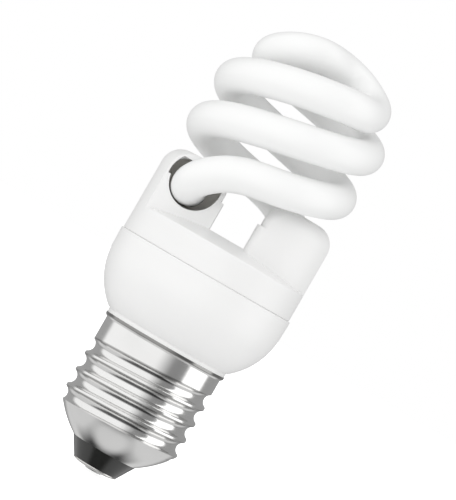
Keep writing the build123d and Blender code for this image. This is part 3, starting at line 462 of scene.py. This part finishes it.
studio = {
    "floorZ": -0.0004,
    "floorSize": 3.0,
    "fillLight": 0.89,
    "floorGlow": 0.72,
    "screenRadius": 0.6,
    "screenPower": 1.6,
    # azimuth from the camera side, towards the photo's right, and brightness
    "screenRound": (
        (-180, 0.37), (-122, 0.37), (-112, 1.02), (3, 1.02), (30, 0.26),
        (58, 0.26), (60, 1.5), (104, 1.5), (108, 0.34), (180, 0.34),
    ),
    # elevation, and the share of that brightness
    "screenHeight": ((-90, 0.1), (-28, 0.1), (-12, 1.0), (90, 1.0)),
    # elevation, and the brightness low behind the lamp
    "screenBack": ((-90, 0.68), (-24, 0.68), (-10, 0.0), (90, 0.0)),
    # elevation, and the share of a dark card there, which the bowl of the cap shows as soft dark patches
    "screenSmear": ((-90, 0.0), (-74, 0.0), (-62, 1.0), (-46, 1.0), (-36, 0.0), (90, 0.0)),
    # places between which the low light and the dark card fade, as shares of the ball's radius
    "backFade": (-0.5, -0.2),
    "smearFade": (0.24, 0.46),
    "lamps": (
        {
            "name": "keyLamp",
            "place": (-0.3, -0.65, 0.4),
            "aim": (0.0, 0.0, 0.06),
            "size": 0.5,
            "power": 0.88,
        },
        {
            "name": "rimLamp",
            "place": (0.5, -0.2, 0.45),
            "aim": (0.0, 0.0, 0.05),
            "size": 0.4,
            "power": 0.2,
        },
    ),
}

# the camera's place and lean, with the picture's height and pixels for each metre
photoView = {
    "across": 0.00136,
    "height": 0.05127,
    "distance": 0.8,
    "lean": -30,
    "pixelsPerMetre": 5050.0,
    "pictureHeight": 500,
    "sensorWidth": 36.0,
    "clipStart": 0.01,
}


def pathSwitch(tree, camera, other):
    # camera, glossy and transmission rays see one shader, the rest see the other
    path = addNode(tree, "ShaderNodeLightPath").outputs
    direct = mathStep(tree, "MAXIMUM", path["Is Camera Ray"], path["Is Glossy Ray"])
    mix = addNode(tree, "ShaderNodeMixShader")
    link(tree, mathStep(tree, "MAXIMUM", direct, path["Is Transmission Ray"]), mix.inputs["Fac"])
    link(tree, other, mix.inputs[1])
    link(tree, camera, mix.inputs[2])
    return mix.outputs[0]


def buildWorld():
    world = bpy.data.worlds.new("studioWorld")
    bpy.context.scene.world = world
    world.use_nodes = True
    tree = world.node_tree
    tree.nodes.clear()
    seen = addNode(tree, "ShaderNodeBackground", {"Color": (1, 1, 1, 1), "Strength": 1.0})
    fill = addNode(tree, "ShaderNodeBackground", {"Color": (1, 1, 1, 1), "Strength": studio["fillLight"]})
    out = addNode(tree, "ShaderNodeOutputWorld")
    link(tree, pathSwitch(tree, seen.outputs[0], fill.outputs[0]), out.inputs["Surface"])


def buildFloor():
    # white floor that keeps the lamp's soft shadow
    size, z = studio["floorSize"], studio["floorZ"]
    mesh = bpy.data.meshes.new("floor")
    corners = [(-size, -size, z), (size, -size, z), (size, size, z), (-size, size, z)]
    mesh.from_pydata(corners, [], [(0, 1, 2, 3)])
    floor = bpy.data.objects.new("floor", mesh)
    bpy.context.scene.collection.objects.link(floor)
    material = bpy.data.materials.new("floorWhite")
    material.use_nodes = True
    tree = material.node_tree
    shader = tree.nodes["Principled BSDF"]
    shader.inputs["Base Color"].default_value = (0.95, 0.95, 0.95, 1.0)
    shader.inputs["Roughness"].default_value = 0.9
    shader.inputs["Specular IOR Level"].default_value = 0.0
    glow = addNode(tree, "ShaderNodeEmission", {"Color": (1, 1, 1, 1), "Strength": studio["floorGlow"]})
    white = addNode(tree, "ShaderNodeAddShader")
    link(tree, shader.outputs[0], white.inputs[0])
    link(tree, glow.outputs[0], white.inputs[1])
    out = tree.nodes["Material Output"]
    link(tree, pathSwitch(tree, white.outputs[0], shader.outputs[0]), out.inputs["Surface"])
    mesh.materials.append(material)
    floor.visible_glossy = False


def toneRamp(tree, stops, source):
    # grey tones at rising shares of the source
    ramp = addNode(tree, "ShaderNodeValToRGB")
    elements = ramp.color_ramp.elements
    elements[0].position, elements[-1].position = stops[0][0], stops[-1][0]
    elements[0].color = (*[stops[0][1]] * 3, 1.0)
    elements[-1].color = (*[stops[-1][1]] * 3, 1.0)
    for position, tone in stops[1:-1]:
        elements.new(position).color = (tone, tone, tone, 1.0)
    link(tree, source, ramp.inputs["Fac"])
    return ramp.outputs["Color"]


def heightTone(tree, stops, height, power=1.0):
    # tones by elevation, on a height that runs from 0 at the ball's foot to 1 at its top
    shares = [((math.sin(math.radians(elevation)) + 1) / 2, tone / power) for elevation, tone in stops]
    return toneRamp(tree, shares, height)


def fadeBetween(tree, source, near, far, limits=(0.0, 1.0)):
    # a value that changes between two places, both given as shares of the ball's radius
    reach = studio["screenRadius"]
    values = {"From Min": near * reach, "From Max": far * reach, "To Min": limits[0], "To Max": limits[1]}
    fade = addNode(tree, "ShaderNodeMapRange", values)
    link(tree, source, fade.inputs["Value"])
    return fade.outputs["Result"]


def buildScreen():
    # a ball of cards round the lamp that only reflections see: tones round the lamp and by height
    bm = bmesh.new()
    bmesh.ops.create_uvsphere(bm, u_segments=96, v_segments=48, radius=studio["screenRadius"])
    mesh = bpy.data.meshes.new("reflectionScreen")
    bm.to_mesh(mesh)
    bm.free()
    screen = bpy.data.objects.new("reflectionScreen", mesh)
    bpy.context.scene.collection.objects.link(screen)
    material = bpy.data.materials.new("screenTone")
    material.use_nodes = True
    tree = material.node_tree
    tree.nodes.clear()
    place = addNode(tree, "ShaderNodeTexCoord")
    split = addNode(tree, "ShaderNodeSeparateXYZ")
    link(tree, place.outputs["Object"], split.inputs[0])
    x, y, z = split.outputs
    power = studio["screenPower"]
    turn = mathStep(tree, "ARCTAN2", x, mathStep(tree, "MULTIPLY", y, -1.0))
    share = addNode(tree, "ShaderNodeMapRange", {"From Min": -math.pi, "From Max": math.pi})
    link(tree, turn, share.inputs["Value"])
    height = fadeBetween(tree, z, -1.0, 1.0)
    roundStops = [((azimuth + 180) / 360, tone / power) for azimuth, tone in studio["screenRound"]]
    aroundTone = toneRamp(tree, roundStops, share.outputs["Result"])
    tones = mathStep(tree, "MULTIPLY", aroundTone, heightTone(tree, studio["screenHeight"], height))
    # the low part stays dark only well in front, for the flanks of the thread
    back = fadeBetween(tree, y, *studio["backFade"])
    lowBack = mathStep(tree, "MULTIPLY", heightTone(tree, studio["screenBack"], height, power), back)
    narrow = fadeBetween(tree, mathStep(tree, "ABSOLUTE", x), *studio["smearFade"], limits=(1.0, 0.0))
    smear = mathStep(tree, "MULTIPLY", heightTone(tree, studio["screenSmear"], height), narrow)
    lift = mathStep(tree, "MULTIPLY", lowBack, mathStep(tree, "SUBTRACT", 1.0, smear))
    glow = addNode(tree, "ShaderNodeEmission", {"Strength": power})
    out = addNode(tree, "ShaderNodeOutputMaterial")
    link(tree, mathStep(tree, "MAXIMUM", tones, lift), glow.inputs["Color"])
    link(tree, glow.outputs[0], out.inputs["Surface"])
    mesh.materials.append(material)
    screen.visible_camera = False
    screen.visible_diffuse = False
    screen.visible_shadow = False
    screen.visible_transmission = False


def addLamp(lamp):
    light = bpy.data.lights.new(lamp["name"], "AREA")
    light.shape = "DISK"
    light.size = lamp["size"]
    light.energy = lamp["power"]
    holder = bpy.data.objects.new(lamp["name"], light)
    holder.location = lamp["place"]
    way = Vector(lamp["aim"]) - Vector(lamp["place"])
    holder.rotation_euler = way.to_track_quat("-Z", "Y").to_euler()
    holder.visible_glossy = False
    bpy.context.scene.collection.objects.link(holder)


def buildCamera(shot):
    # level view along +Y from far off, rolled so that the lamp leans as in the photo
    camera = bpy.data.cameras.new("camera")
    view = bpy.data.objects.new("camera", camera)
    bpy.context.scene.collection.objects.link(view)
    camera.sensor_width = shot["sensorWidth"]
    camera.lens = shot["pixelsPerMetre"] * shot["distance"] / shot["pictureHeight"] * shot["sensorWidth"]
    camera.clip_start = shot["clipStart"]
    view.location = (shot["across"], -shot["distance"], shot["height"])
    view.rotation_euler = (math.radians(90), math.radians(shot["lean"]), 0.0)
    bpy.context.scene.camera = view


buildWorld()
buildFloor()
buildScreen()
for lampValues in studio["lamps"]:
    addLamp(lampValues)
buildCamera(photoView)
bpy.context.scene.view_settings.view_transform = "Standard"
print("studio ready")
